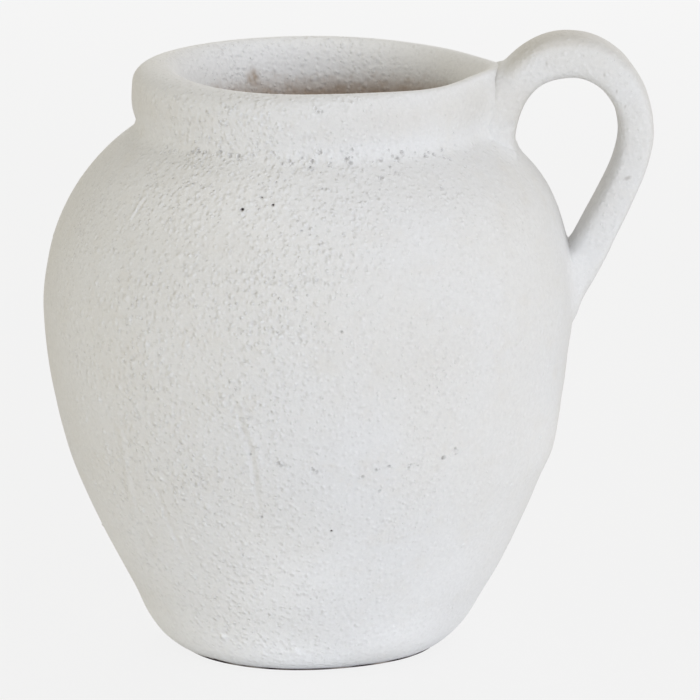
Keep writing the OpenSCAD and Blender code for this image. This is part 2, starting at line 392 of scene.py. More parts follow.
# marks strewn at random; a belt has a mean height and a spread, and a depth below 0 stands proud
strewn = [
    # pits in a loose belt under the neck, then in the upper wall
    {"count": 90, "angles": (0, 360), "belt": (207.5, 3.2), "radii": (0.35, 0.7), "depths": (0.25, 0.65)},
    {"count": 110, "angles": (0, 360), "heights": (105, 205), "radii": (0.35, 0.6), "depths": (0.2, 0.5)},
    # pits at the belly joint, out of the photograph's sight
    {"count": 26, "angles": (-40, 210), "belt": (94.5, 1.8), "radii": (0.5, 0.9), "depths": (0.4, 0.8)},
    # lumps in the left wall, then grains all round, below the shoulder
    {"count": 44, "angles": (-153, -114), "heights": (40, 178), "radii": (1.0, 1.9), "depths": (-.36, -.72)},
    {"count": 60, "angles": (-180, 180), "heights": (15, 150), "radii": (0.7, 1.3), "depths": (-0.2, -0.45)},
]
strewnSeed = 41
# smaller pits that break the edge of a placed one, as offsets and shares of it
ragged = {"seed": 17, "count": (1, 3), "angles": (-0.9, 0.9), "heights": (-1.1, 0.9), "radii": (0.4, 0.8),
          "depths": (0.4, 0.9)}


def strewnPits():
    dice = random.Random(strewnSeed)
    found = []
    for kind in strewn:
        for i in range(kind["count"]):
            angle = dice.uniform(*kind["angles"])
            z = dice.gauss(*kind["belt"]) if "belt" in kind else dice.uniform(*kind["heights"])
            found.append((angle, z, dice.uniform(*kind["radii"]), dice.uniform(*kind["depths"])))
    return found


def raggedPits():
    dice = random.Random(ragged["seed"])
    found = []
    for angle, z, radius, depth in marks["neckPits"] + marks["seamPits"]:
        for k in range(dice.randint(*ragged["count"])):
            found.append((angle + dice.uniform(*ragged["angles"]), z + dice.uniform(*ragged["heights"]),
                          radius * dice.uniform(*ragged["radii"]), depth * dice.uniform(*ragged["depths"])))
    return found


allPits = [pit for name in marks for pit in marks[name]] + raggedPits() + strewnPits()
pinholeSpots = set(marks["pinholes"])

# how rough the wash is: bands of height as from, to, share; sides as angle, spread to each hand, share
roughBands = [(40, 120, 0.18), (175, 195, 0.25), (206, 216, -0.28)]
roughSides = [(-117, 37, 60, 0.83), (105, 60, 60, 0.7)]


def toothAt(co):
    angle = angleOf(co)
    band, around = 0.82, 0.25
    for low, high, share in roughBands:
        band += share * ease(low, high, co.z)
    for side, before, after, share in roughSides:
        spread = before if turnFrom(angle, side) < 0 else after
        around += share * sideShare(angle, side, spread)
    return band * around * patchy(co, 0.5, 0.035, (9, 2, 4))


def wornAt(co):
    # thin on the collar's bulge, apart from its front left
    bulge = ease(211, 221, co.z) * ease(233, 225, co.z)
    spared = 0.9 * sideShare(angleOf(co), -116, 36)
    return 0.5 * patchy(co, 0.8, 0.04) * bulge * (1 - spared)


# where the wash is paler or darker: angle, its spread, height, its spread, share (below 0 is darker); some
# are thick and thin wash, some painted light and painted shade
washAndLightPatches = [
    (-103, 20, 46, 22, 0.36),
    (-88, 18, 4, 8, 0.75),
    (-112, 36, 195, 13, 0.3),
    # painted light on the right edge of the belly
    (-20, 16, 95, 32, 0.3),
    # painted shade on the lit right front of the shoulder
    (-62, 20, 140, 28, -0.4),
    (-166, 17, 140, 60, -0.35),
    (-6, 5, 218, 13, -0.85),
    (-63, 22, 200, 10, -0.22),
    # painted shade on the lit lower right, by the foot
    (-60, 16, 7, 8, -0.3),
]

# painted light: paler low on the wall and towards the foot, in place of light bounced up off the floor: from,
# to, share
floorBounceBands = [(95, 20, 0.3), (30, 8, 0.38)]


def washAndLightAt(co, sign):
    return sum(abs(share) * spotShare(co, side, spread, height, tall)
               for side, spread, height, tall, share in washAndLightPatches if share * sign > 0)


def layWash(bm):
    pale, wornAndShaded = floatLayers(bm, "pale", "wornAndShaded")
    for vert in bm.verts:
        co = vert.co
        bounce = sum(share * ease(low, high, co.z) for low, high, share in floorBounceBands)
        vert[pale] = (bounce + washAndLightAt(co, 1)) * patchy(co, 0.6, 0.03)
        vert[wornAndShaded] = wornAt(co) + washAndLightAt(co, -1)


# sizes in millimetres, those of the lip in radii of the pit
pitShape = {"overlap": 3.0, "margin": 0.75, "cuts": 3, "steep": 1.5, "reach": 1.6, "grey": 0.52}
pitLip = {"at": 1.15, "width": 0.25, "rise": 0.3}
strokeShape = {"overlap": 9.0, "margin": 0.3, "looks": 8, "steps": 24, "ends": (0.04, 0.96), "gain": 0.9}


def refineNear(bm, pits, low, high):
    bm.faces.ensure_lookup_table()
    tree = wholeTree([face.calc_center_median() for face in bm.faces])
    near = {bm.faces[i] for spot, radius, depth, dark in pits
            for co, i, far in tree.find_range(spot, radius + pitShape["margin"])}
    overlap, looks = strokeShape["overlap"], strokeShape["looks"]
    for half, depth, points in strokes:
        path = [onWall(angle, z) for angle, z in points if low - overlap < z < high + overlap]
        for a, b in zip(path, path[1:]):
            for k in range(looks + 1):
                found = tree.find_range(a.lerp(b, k / looks), half + strokeShape["margin"])
                near.update(bm.faces[i] for co, i, far in found)
    bm.edges.index_update()
    edges = sorted({edge for face in near for edge in face.edges}, key=lambda edge: edge.index)
    if edges:
        bmesh.ops.subdivide_edges(bm, edges=edges, cuts=pitShape["cuts"], use_grid_fill=True)


def pitFall(t, depth):
    fall = max(1 - t * t, 0) ** pitShape["steep"] * depth
    if depth > 0:
        fall -= pitLip["rise"] * depth * math.exp(-((t - pitLip["at"]) / pitLip["width"]) ** 2)
    return fall


def drawStroke(bm, tree, half, depth, points):
    path = [onWall(angle, z) for angle, z in points]
    steps = strokeShape["steps"]
    for part, (a, b) in enumerate(zip(path, path[1:])):
        step = (b - a).length / steps
        for k in range(steps):
            spot = a.lerp(b, k / steps)
            along = clamp((part + k / steps) / (len(path) - 1), *strokeShape["ends"])
            taper = math.sin(math.pi * along) ** 0.5
            inward = -outward(spot)
            for co, i, far in tree.find_range(spot, half):
                fall = (1 - (far / half) ** 2) ** 2
                bm.verts[i].co += inward * depth * taper * fall * step / half * strokeShape["gain"]


def markSkin(bm, low, high):
    hollow, tooth = floatLayers(bm, "hollow", "tooth")
    pits = [(onWall(angle, z), radius, depth, (angle, z, radius, depth) in pinholeSpots)
            for angle, z, radius, depth in allPits
            if low - pitShape["overlap"] < z < high + pitShape["overlap"]]
    refineNear(bm, pits, low, high)
    bm.verts.ensure_lookup_table()
    tree = wholeTree([vert.co for vert in bm.verts])
    for spot, radius, depth, dark in pits:
        inward = -outward(spot)
        # pits are greyed, partly dirt and partly painted shade; pinholes go near black as painted shade
        grey = 1 if dark else pitShape["grey"] * depth
        for co, i, far in tree.find_range(spot, radius * pitShape["reach"]):
            t = far / radius
            bm.verts[i].co += inward * pitFall(t, depth)
            if depth > 0:
                bm.verts[i][hollow] = max(bm.verts[i][hollow], max(1 - t * t, 0) * grey)
    for half, depth, points in strokes:
        drawStroke(bm, tree, half, depth, points)
    for vert in bm.verts:
        vert[tooth] = toothAt(vert.co)


# handle: a pulled strap between two rails, in the XZ plane

strap = {
    "outer": [
        [(66, 223.5), (77.5, 235.4), (86.6, 247.4), (102, 247.4)],
        [(102, 247.4), (119.6, 247.4), (136.3, 229.5), (136.3, 208)],
        [(136.3, 208), (136.3, 192), (118.3, 157.85), (97.4, 121)],
    ],
    "inner": [
        [(79, 190), (82.6, 211), (82, 229.6), (103, 229.6)],
        [(103, 229.6), (114.4, 229.6), (122.3, 220.6), (122.3, 208)],
        [(122.3, 208), (122.3, 190.5), (108.3, 177), (99.6, 153.5)],
    ],
    "widths": [34, 27, 27, 31],
    "power": [3.0, 3.3, 4.0, 3.8],
    "steps": 40,
    "sides": 64,
    "sink": 12.0,  # how far the upper end runs on into the collar
    "sinkShares": (1, 0.75, 0.5, 0.25),
    "buried": -2.5,  # no point lies deeper in the wall than this
    "showing": -0.5,  # the wall is blended to what lies less deep than this
    "smoothing": (3, 0.4),  # rounds, factor
    "waver": [(0.5, 0.045), (0.2, 0.11)],
    "ownSkin": 14.0,  # gap from which none of the wall's tones is left
    "tooth": 0.55,
    "front": -14.0,  # the front face lies near this Y
    "ringFrom": 195.0,  # a root higher than this also lies near the collar
    "bodyTo": 6.0,  # and this far over the neck, near it alone
    "slopes": (-0.45, 0.8),  # sines of the wall's slope
    "between": 185.0,  # parts the lower root from the upper one
    # pits in the front face: across, height, depth
    "pits": [(124.8, 191.5, 0.6), (124.4, 219.5, 0.45), (120.9, 225.4, 0.45), (116.2, 232.3, 0.4),
             (93.2, 237, 0.4)],
    "pitDepth": 0.4,
}
dents = {"seed": 8, "count": 40, "radii": (0.8, 1.3), "depths": (0.1, 0.3), "grey": 0.12}

# the wall is blended to the handle past this X, within this half width and depth
blend = {"nearX": 55.0, "halfWidth": 42.0, "depth": 5.0, "facing": (0.05, 1.2), "closest": 0.2}


def rounded(c, power):
    return math.copysign(abs(c) ** (2 / power), c)


def between(values, i, t):
    return values[i] + (values[i + 1] - values[i]) * t


def strapStations():
    rails = ("outer", "inner")
    sink = Vector((strap["sink"], 0, 0))
    outer, inner = [inPlane(strap[rail][0])[0] for rail in rails]
    stations = [(outer - sink * t, inner - sink * t, strap["widths"][0], strap["power"][0])
                for t in strap["sinkShares"]]
    steps = strap["steps"]
    for i in range(len(strap["outer"])):
        outer, inner = [interpolate_bezier(*inPlane(strap[rail][i]), steps + 1) for rail in rails]
        for k in range(1 if i else 0, steps + 1):
            t = ease(0, steps, k)
            width, power = between(strap["widths"], i, t), between(strap["power"], i, t)
            stations.append((Vector(outer[k]), Vector(inner[k]), width, power))
    return stations


def wallGap(co):
    # how far a point lies off the body, or high up off the collar
    push = handPush(co)
    slope = math.asin(clamp((co.z - bellyZ) / jug["shoulderCurve"], *strap["slopes"]))
    body = (acrossOf(co) - wallRadius(min(co.z, jug["neck"] + 1)) - push) * math.cos(slope)
    if co.z < strap["ringFrom"]:
        return body
    x, z = jug["collarCentre"]
    across = math.hypot(co.x - mouthDrawn(angleOf(co)) * faceDrawn(co.z), co.y)
    ring = math.hypot(across - x, co.z - z) - jug["collarCurve"] - push
    return min(body, ring) if co.z < jug["neck"] + strap["bodyTo"] else ring


def blendWidth(co, normal):
    if co.z < strap["between"]:  # lower root: tight at the crease above, wide along the flanks below
        crease, flank = 3, 8 * (1 - ease(154, 168, co.z))
    else:  # upper root: tight at the lip
        crease, flank = 2.5 + 3 * (1 - ease(216, 232, co.z)), 9 * (1 - ease(236, 247, co.z))
    return crease + flank * abs(normal.y)


def wallNormal(co):
    gap, step = wallGap(co), 0.1
    ways = (Vector((step, 0, 0)), Vector((0, step, 0)), Vector((0, 0, step)))
    return Vector([wallGap(co + way) - gap for way in ways]).normalized()


def drawnOut(gap, near, facing):
    # rise of the smooth union of two surfaces, this gap apart, by the cosine between their normals
    spread = clamp(1 - facing, *blend["facing"])
    left = 1 - clamp(gap / near, blend["closest"] * spread, 1)
    return near * (2 - spread * left - 2 * math.sqrt(1 - spread * left)) / spread ** 2


def rubbedAndTopShadeAt(co, normal):
    # hands rubbed the wash thin in the loop's inner part and at its upper root; its upward-facing top is
    # darkened as painted shade
    inner = (0.14 + 0.2 * ease(124, 104, co.x)) * ease(160, 185, co.z)
    # painted shade: faces turned up are darker
    top = ease(0.25, 0.85, normal.z) * (0.4 + 0.5 * ease(114, 98, co.x))
    root = 0.65 * ease(96, 86, co.x) * ease(234, 222, co.z)
    return (inner + top + root) * patchy(co, 0.4, 0.06)


def loftStrap(bm):
    previous = None
    ends = []
    for outer, inner, width, power in strapStations():
        ring = bmesh.ops.create_circle(bm, segments=strap["sides"], radius=1, cap_ends=False)["verts"]
        for vert in ring:
            c, s = rounded(vert.co.x, power), rounded(vert.co.y, power)
            vert.co = (outer + inner) / 2 + (outer - inner) / 2 * c + Vector((0, s * width / 2, 0))
        edges = list({edge for vert in ring for edge in vert.link_edges})
        if previous:
            bmesh.ops.bridge_loops(bm, edges=previous + edges)
        else:
            ends.append(edges)
        previous = edges
    ends.append(previous)
    for edges in ends:
        bmesh.ops.holes_fill(bm, edges=edges, sides=0)
    bmesh.ops.recalc_face_normals(bm, faces=bm.faces)
    rounds, factor = strap["smoothing"]
    for k in range(rounds):
        bmesh.ops.smooth_vert(bm, verts=bm.verts, factor=factor,
                              use_axis_x=True, use_axis_y=True, use_axis_z=True)
    bm.normal_update()
    for vert in bm.verts:
        vert.co += vert.normal * ripple(vert.co, strap["waver"])
    bm.normal_update()


def dentStrap(bm, hollow):
    dice = random.Random(dents["seed"])
    bm.verts.ensure_lookup_table()
    tree = wholeTree([vert.co for vert in bm.verts])
    for k in range(dents["count"]):
        pick = bm.verts[dice.randrange(len(bm.verts))]
        radius, depth = dice.uniform(*dents["radii"]), dice.uniform(*dents["depths"])
        inward = -pick.normal
        for co, i, far in tree.find_range(pick.co.copy(), radius):
            fall = (1 - (far / radius) ** 2) ** 2
            bm.verts[i].co += inward * fall * depth
            # dents greyed slightly, partly painted shade
            bm.verts[i][hollow] = max(bm.verts[i][hollow], dents["grey"] * fall)
    for x, z, depth in strap["pits"]:
        co, i, far = tree.find((x, strap["front"], z))
        bm.verts[i].co -= bm.verts[i].normal * strap["pitDepth"] * depth
        bm.verts[i][hollow] = depth


def makeHandle(material):
    bm = bmesh.new()
    loftStrap(bm)
    points = [(vert.co.copy(), vert.normal.copy()) for vert in bm.verts
              if wallGap(vert.co) > strap["showing"]]
    hollow, tooth, wornAndShaded = floatLayers(bm, "hollow", "tooth", "wornAndShaded")
    for vert in bm.verts:  # the clay is drawn out where it meets the wall
        near = blendWidth(vert.co, vert.normal)
        gap = wallGap(vert.co)
        own = ease(0, strap["ownSkin"], gap)
        wallWornAndShaded = wornAt(vert.co) + washAndLightAt(vert.co, -1)
        vert[wornAndShaded] = rubbedAndTopShadeAt(vert.co, vert.normal) * own + wallWornAndShaded * (1 - own)
        vert[tooth] = strap["tooth"] * own + toothAt(vert.co) * (1 - own)
        if abs(gap) < near:
            rise = drawnOut(gap, near, wallNormal(vert.co).dot(vert.normal)) * ease(-near, 0, gap)
            vert.co += vert.normal * rise
        if gap < strap["buried"]:
            vert.co += outward(vert.co) * (strap["buried"] - gap)
    dentStrap(bm, hollow)
    nodes = ["handle", "upper_root_slip", "lower_root_slip"]
    finishPiece(bm, "pulledHandle", nodes, material)
    return points


def blendToHandle(bm):
    bm.normal_update()
    for vert in bm.verts:
        co = vert.co
        if co.x < blend["nearX"] or abs(co.y) > blend["halfWidth"]:
            continue
        if acrossOf(co) < outerRadius(co.z) - blend["depth"]:
            continue
        spot, i, far = handleTree.find(co)
        normal = handlePoints[i][1]
        near = blendWidth(spot, normal)
        if far < near:
            vert.co += outward(co) * drawnOut(far, near, vert.normal.dot(normal))


# materials

def node(tree, kind, x, y, **values):
    made = tree.nodes.new(kind)
    made.location = (x * 180, y * 160)
    for key, value in values.items():
        if key.startswith("in_"):
            made.inputs[key[3:].replace("_", " ")].default_value = value
        else:
            setattr(made, key, value)
    return made


def newGroup(name, floats, outputs):
    tree = bpy.data.node_groups.new(name, "ShaderNodeTree")
    tree.interface.new_socket("Vector", in_out="INPUT", socket_type="NodeSocketVector")
    for label, value in floats.items():
        tree.interface.new_socket(label, in_out="INPUT", socket_type="NodeSocketFloat").default_value = value
    for label in outputs:
        tree.interface.new_socket(label, in_out="OUTPUT", socket_type="NodeSocketFloat")
    return tree, tree.nodes.new("NodeGroupInput"), tree.nodes.new("NodeGroupOutput")


def math2(tree, operation, a, b, x, y, clamped=False):
    made = node(tree, "ShaderNodeMath", x, y, operation=operation, use_clamp=clamped)
    for i, value in enumerate((a, b)):
        if isinstance(value, (int, float)):
            made.inputs[i].default_value = value
        else:
            tree.links.new(value, made.inputs[i])
    return made.outputs[0]


def ranged(tree, value, fromLow, fromHigh, toLow, toHigh, x, y):
    made = node(tree, "ShaderNodeMapRange", x, y, interpolation_type="SMOOTHSTEP")
    for i, bound in enumerate((fromLow, fromHigh, toLow, toHigh)):
        made.inputs[i + 1].default_value = bound
    tree.links.new(value, made.inputs["Value"])
    return made.outputs["Result"]


def mixColour(tree, factor, a, b, x, y, blend="MIX"):
    made = node(tree, "ShaderNodeMix", x, y, data_type="RGBA", blend_type=blend)
    for i, value in ((0, factor), (6, a), (7, b)):
        if isinstance(value, (int, float)):
            made.inputs[i].default_value = value
        elif isinstance(value, tuple):
            made.inputs[i].default_value = (*value, 1)
        else:
            tree.links.new(value, made.inputs[i])
    return made.outputs[2]


def attribute(tree, name, x, y):
    return node(tree, "ShaderNodeAttribute", x, y, attribute_name=name).outputs["Fac"]


def spotGroup():
    # pits or grains, one to a cell and of uneven size
    tree, start, end = newGroup("scatteredSpots", {"Scale": 400.0, "Reach": 0.3}, ["Spot"])
    start.location = (-700, 0)
    cells = node(tree, "ShaderNodeTexVoronoi", -2, 0, voronoi_dimensions="3D", feature="F1")
    tree.links.new(start.outputs["Vector"], cells.inputs["Vector"])
    tree.links.new(start.outputs["Scale"], cells.inputs["Scale"])
    parts = node(tree, "ShaderNodeSeparateColor", -1, -1)
    tree.links.new(cells.outputs["Color"], parts.inputs[0])
    uneven = math2(tree, "ADD", parts.outputs[1], 0.5, 0, -2)
    sized = math2(tree, "MULTIPLY", start.outputs["Reach"], uneven, 0.5, -2)
    outside = math2(tree, "DIVIDE", cells.outputs["Distance"], sized, 1, 0)
    inside = math2(tree, "SUBTRACT", 1.0, outside, 2, 0, True)
    tree.links.new(ranged(tree, inside, 0, 1, 0, 1, 3, 0), end.inputs["Spot"])
    end.location = (900, 0)
    return tree


def grainGroup():
    # relief of the brushed wash: fine tooth, soft pebbling and broad lumps
    tree, start, end = newGroup(
        "brushedTooth", {"Pebbling": 0.2, "Lumps": 0.1, "Tooth": 0.05}, ["Height", "Tone"])
    start.location = (-1200, 0)
    fine = node(tree, "ShaderNodeTexNoise", -4, 2, in_Scale=2100.0, in_Detail=2.0, in_Roughness=0.55)
    soft = node(tree, "ShaderNodeTexNoise", -4, 0, in_Scale=600.0, in_Detail=1.0, in_Roughness=0.5)
    broad = node(tree, "ShaderNodeTexNoise", -4, -2, in_Scale=230.0, in_Detail=2.0, in_Roughness=0.55)
    parts = []
    for made, name, y in ((fine, "Tooth", 2), (soft, "Pebbling", 0), (broad, "Lumps", -2)):
        tree.links.new(start.outputs["Vector"], made.inputs["Vector"])
        centred = math2(tree, "SUBTRACT", made.outputs[0], 0.5, -2, y)
        parts.append((centred, math2(tree, "MULTIPLY", centred, start.outputs[name], 0, y)))
    height = math2(tree, "ADD", math2(tree, "ADD", parts[0][1], parts[1][1], 1, 1), parts[2][1], 2, 0)
    tree.links.new(height, end.inputs["Height"])
    tree.links.new(math2(tree, "ADD", parts[0][0], parts[1][0], 1, -2), end.inputs["Tone"])
    end.location = (700, 0)
    return tree


def cloudGroup():
    # broad clouds of thin and thick wash
    tree, start, end = newGroup("washClouds", {}, ["Cloud", "Stain"])
    start.location = (-700, 0)
    broad = node(tree, "ShaderNodeTexNoise", -2, 1, in_Scale=16.0, in_Detail=4.0, in_Roughness=0.55)
    middle = node(tree, "ShaderNodeTexNoise", -2, -1, in_Scale=75.0, in_Detail=5.0, in_Roughness=0.65)
    for made in (broad, middle):
        tree.links.new(start.outputs["Vector"], made.inputs["Vector"])
    tree.links.new(ranged(tree, broad.outputs[0], 0.32, 0.68, 0, 1, 0, 1), end.inputs["Cloud"])
    tree.links.new(ranged(tree, middle.outputs[0], 0.5, 0.72, 0, 1, 0, -1), end.inputs["Stain"])
    end.location = (300, 0)
    return tree


scatteredSpots = spotGroup()
brushedTooth = grainGroup()
washClouds = cloudGroup()

wash = {
    "thick": (0.742, 0.746, 0.750),
    "thin": (0.730, 0.726, 0.712),
    "pale": (0.905, 0.912, 0.92),
    "wornAndShaded": (0.66, 0.645, 0.615),
    "stain": (0.66, 0.625, 0.565),
    "pit": (0.41, 0.385, 0.36),
    "pinhole": (0.045, 0.030, 0.034),
    "soil": (0.44, 0.345, 0.27),
    "clay": (0.47, 0.325, 0.22),
    "roughness": 0.93,
    "specular": 0.25,
    "stained": 0.2,
    "slipStained": 0.26,
}

skin = {
    "tooth": 0.05,  # heights in millimetres
    "pebbling": 0.34,
    "lumps": 0.2,
    "pitDepth": 0.28,
    "grainHeight": 0.4,
    "pitScale": 440.0,  # cells to a metre
    "pitReach": 0.45,
    "pitTone": 0.11,
    "grainScale": 400.0,
    "grainReach": 0.46,
    "grainTone": 0.32,
    "toothTone": 0.10,
    "greyAt": 0.55,  # a hollow greys up to here, then darkens: partly dirt, partly painted shade
    "greyShare": 0.6,
    "darkAt": 0.85,
    "soilAt": 0.5,  # bare ground shows soil up to here, then clay
}


def washColour(tree, tooth, clouds, pitted, grained, stainShare):
    hollow, bareAndDeepShade, pale, wornAndShaded = [attribute(tree, name, -6, -5 - i)
                                for i, name in enumerate(("hollow", "bareAndDeepShade", "pale", "wornAndShaded"))]
    grey, dark, soil = skin["greyAt"], skin["darkAt"], skin["soilAt"]
    tone = math2(tree, "MULTIPLY_ADD", tooth.outputs["Tone"], skin["toothTone"], -4, 1)
    tone.node.inputs[2].default_value = 1.0
    colour = mixColour(tree, clouds.outputs["Cloud"], wash["thin"], wash["thick"], -4, 3)
    stained = math2(tree, "MULTIPLY", clouds.outputs["Stain"], stainShare, -4, 2)
    for x, (share, tint) in enumerate(((stained, "stain"), (pale, "pale"), (wornAndShaded, "wornAndShaded"))):
        colour = mixColour(tree, share, colour, wash[tint], x - 3, 4)
    colour = mixColour(tree, 1.0, colour, tone, -2, 3, "MULTIPLY")
    # soil and clay where the ground is bare; grains paler, partly a painted highlight; pits, hollows,
    # pinholes and the line under the foot darker, partly dirt and partly painted shade
    shares = [
        (ranged(tree, bareAndDeepShade, 0, soil, 0, 1, -2, -7), "soil"),
        (ranged(tree, bareAndDeepShade, soil, 1, 0, 1, -2, -6), "clay"),
        (math2(tree, "MULTIPLY", grained, skin["grainTone"], -2, 1, True), "pale"),
        (math2(tree, "MULTIPLY", pitted, skin["pitTone"], -2, 0, True), "pit"),
        (ranged(tree, hollow, 0, grey, 0, skin["greyShare"], -2, -4), "pit"),
        (ranged(tree, hollow, grey, dark, 0, 1, -2, -5), "pinhole"),
    ]
    for x, (share, tint) in enumerate(shares):
        colour = mixColour(tree, share, colour, wash[tint], x - 1, 3)
    return colour


def washMaterial(name, stainShare):
    material = bpy.data.materials.new(name)
    material.use_nodes = True
    tree = material.node_tree
    tree.nodes.clear()
    place = node(tree, "ShaderNodeTexCoord", -9, 0).outputs["Object"]
    rough = attribute(tree, "tooth", -8, 1)
    clouds = node(tree, "ShaderNodeGroup", -6, 3, node_tree=washClouds)
    tooth = node(tree, "ShaderNodeGroup", -6, 1, node_tree=brushedTooth, in_Tooth=skin["tooth"])
    pits = node(tree, "ShaderNodeGroup", -6, -1, node_tree=scatteredSpots, in_Scale=skin["pitScale"],
                in_Reach=skin["pitReach"])
    grains = node(tree, "ShaderNodeGroup", -6, -3, node_tree=scatteredSpots, in_Scale=skin["grainScale"],
                  in_Reach=skin["grainReach"])
    for made in (clouds, tooth, pits, grains):
        tree.links.new(place, made.inputs["Vector"])
    tree.links.new(math2(tree, "MULTIPLY", rough, skin["pebbling"], -7, 2), tooth.inputs["Pebbling"])
    tree.links.new(math2(tree, "MULTIPLY", rough, skin["lumps"], -7, 1), tooth.inputs["Lumps"])
    pitted = math2(tree, "MULTIPLY", pits.outputs[0], rough, -5, -1)
    grained = math2(tree, "MULTIPLY", grains.outputs[0], rough, -5, -3)

    proud = math2(tree, "MULTIPLY", grained, skin["grainHeight"], -4, -3)
    sunk = math2(tree, "MULTIPLY", pitted, skin["pitDepth"], -4, -1)
    raised = math2(tree, "ADD", tooth.outputs["Height"], proud, -3, -2)
    relief = math2(tree, "SUBTRACT", raised, sunk, -3, -1)
    bump = node(tree, "ShaderNodeBump", 2, -1, in_Strength=1.0, in_Distance=toMetres)
    tree.links.new(relief, bump.inputs["Height"])

    coat = node(tree, "ShaderNodeBsdfPrincipled", 4, 1)
    coat.inputs["Roughness"].default_value = wash["roughness"]
    coat.inputs["Specular IOR Level"].default_value = wash["specular"]
    colour = washColour(tree, tooth, clouds, pitted, grained, stainShare)
    tree.links.new(colour, coat.inputs["Base Color"])
    tree.links.new(bump.outputs[0], coat.inputs["Normal"])
    shown = node(tree, "ShaderNodeOutputMaterial", 6, 1)
    tree.links.new(coat.outputs[0], shown.inputs[0])
    return material


limewash = washMaterial("limewash", wash["stained"])
slipWash = washMaterial("slipWash", wash["slipStained"])
print("materials made")

handlePoints = makeHandle(limewash)
handleTree = wholeTree([co for co, normal in handlePoints])


# bowl: foot, straight wall and the lower half of the belly

bowl = {
    "footEdge": 14.0,
    "floorEdge": 18.0,
    "floor": 11.0,
    "footGap": 0.85,  # the rounded edge ends this far clear of the ground, on a low ring
    "footStep": 0.5,
    "footSlope": 0.2,
    "footRing": 2.0,
    "hair": 0.01,
}


def edgeCentre(inset, floorZ, radius):
    z = floorZ + radius
    curve = jug["bellyCurve"] - inset
    topX = bellyX + curve * math.cos(flare)
    topZ = bellyZ - curve * math.sin(flare)
    return topX - (topZ - z) * math.tan(flare) - radius / math.cos(flare), z, topX, topZ


def bellyTurn(z, inset):
    return math.degrees(math.asin((z - bellyZ) / (jug["bellyCurve"] - inset)))


def keyedSeat(pen, z, fromRadius, toRadius, centre):
    half = jug["keyWidth"] / 2 * (1 if fromRadius > toRadius else -1)
    for x, height in ((centre + half, z), (centre, z - jug["keyDepth"]), (centre - half, z), (toRadius, z)):
        pen.line(x, height, jug["seatPitch"])


def wallMiddle(z):
    return (wallRadius(z) + wallRadius(z, jug["wall"])) / 2


def shapeWall(bm):
    for vert in bm.verts:
        co = vert.co
        across = acrossOf(co)
        if across < 1:
            continue
        vert.co = co + Vector((co.x, co.y, 0)) / across * handPush(co)


# where the wash leaves the clay bare, in patches
bareClay = {
    "patches": [(1.0, 0.05), (0.6, 0.19)],
    "footShare": 0.9,  # of the gap under the foot
    "footRadius": 56.0,
    "wallShare": 0.6,  # of the wall's thickness, from outside
    "wallTop": 206.0,
    "inside": (5.0, 208.5),
    "deeper": (207, 150),
}


def bareInside(bm):
    layWash(bm)
    bareAndDeepShade, = floatLayers(bm, "bareAndDeepShade")
    low, high = bareClay["inside"]
    inset = jug["wall"] * bareClay["wallShare"]
    for vert in bm.verts:
        z, across = vert.co.z, acrossOf(vert.co)
        patch = ripple(vert.co, bareClay["patches"])
        if z < bowl["footGap"] * bareClay["footShare"] and across < bareClay["footRadius"]:
            vert[bareAndDeepShade] = ease(-0.5, 0.6, patch + 0.35)
        elif across < wallRadius(min(z, bareClay["wallTop"]), inset) and low < z < high:
            vert[bareAndDeepShade] = ease(-0.6, 0.5, patch + 1.2 * ease(*bareClay["deeper"], z) - 0.1)


def markFoot(bm, edge):
    hollow, = floatLayers(bm, "hollow")
    gap, slope, hair = bowl["footGap"], bowl["footSlope"], bowl["hair"]
    for vert in bm.verts:
        co, across = vert.co, acrossOf(vert.co)
        standing = abs(across - edge + bowl["footStep"] + slope / 2) < slope
        if co.z < gap + hair and standing:  # painted shadow: a dark line where the foot stands, in place of the contact shadow
            vert[hollow] = 0.74 + 0.3 * noise.noise(co * 0.12)
        elif gap - hair < co.z < 4 and across > edge - 0.1:  # dark spots in the edge, at the front left
            edgeDark = sideShare(angleOf(co), -133, 6) * ease(3.2, 1.4, co.z)
            vert[hollow] = max(edgeDark * (0.95 + 0.9 * noise.noise(co * 0.45)), 0)


def makeBowl():
    bm = bmesh.new()
    pitch, inner, seam, wall = jug["pitch"], jug["innerPitch"], jug["seam"], jug["wall"]
    x, z, topX, topZ = edgeCentre(0, 0, bowl["footEdge"])
    gap = bowl["footGap"]
    first = math.degrees(math.acos((bowl["footEdge"] - gap) / bowl["footEdge"]))
    edge = x + bowl["footEdge"] * math.sin(math.radians(first))
    stand = edge - bowl["footStep"]
    pen = profilePen(bm, 0, 0)
    pen.line(stand - bowl["footRing"], 0, 4)
    pen.line(stand - bowl["footSlope"], 0, 2)
    pen.line(stand, gap, 1)
    pen.line(edge, gap, 0.8)
    pen.arc(x, z, 90 - jug["flare"] - first, pitch)
    pen.line(topX, topZ, pitch)
    pen.arc(bellyX, bellyZ, bellyTurn(seam, 0) + jug["flare"], pitch)
    keyedSeat(pen, seam, wallRadius(seam), wallRadius(seam, wall), wallMiddle(seam))
    pen.arc(bellyX, bellyZ, -bellyTurn(seam, wall) - jug["flare"], inner)
    x, z, topX, topZ = edgeCentre(wall, bowl["floor"], bowl["floorEdge"])
    startX = x + bowl["floorEdge"] * math.cos(flare)
    startZ = z - bowl["floorEdge"] * math.sin(flare)
    pen.line(startX, startZ, inner)
    pen.arc(x, z, jug["flare"] - 90, inner / 2)
    pen.line(0, bowl["floor"], 5)
    lathe(bm)
    markFoot(bm, edge)
    shapeWall(bm)
    markSkin(bm, 0, seam)
    bareInside(bm)
    finishPiece(bm, "bowlWall", ["bowl"], limewash)


# shoulder: the upper half of the belly, up to the neck

# the throat is shifted over these heights, and nothing past this radius
shoulder = {"shiftRise": (188, 205), "fixed": 69.0}


def shoulderTurn(z, inset):
    return math.degrees(math.asin((z - bellyZ) / (jug["shoulderCurve"] - inset)))


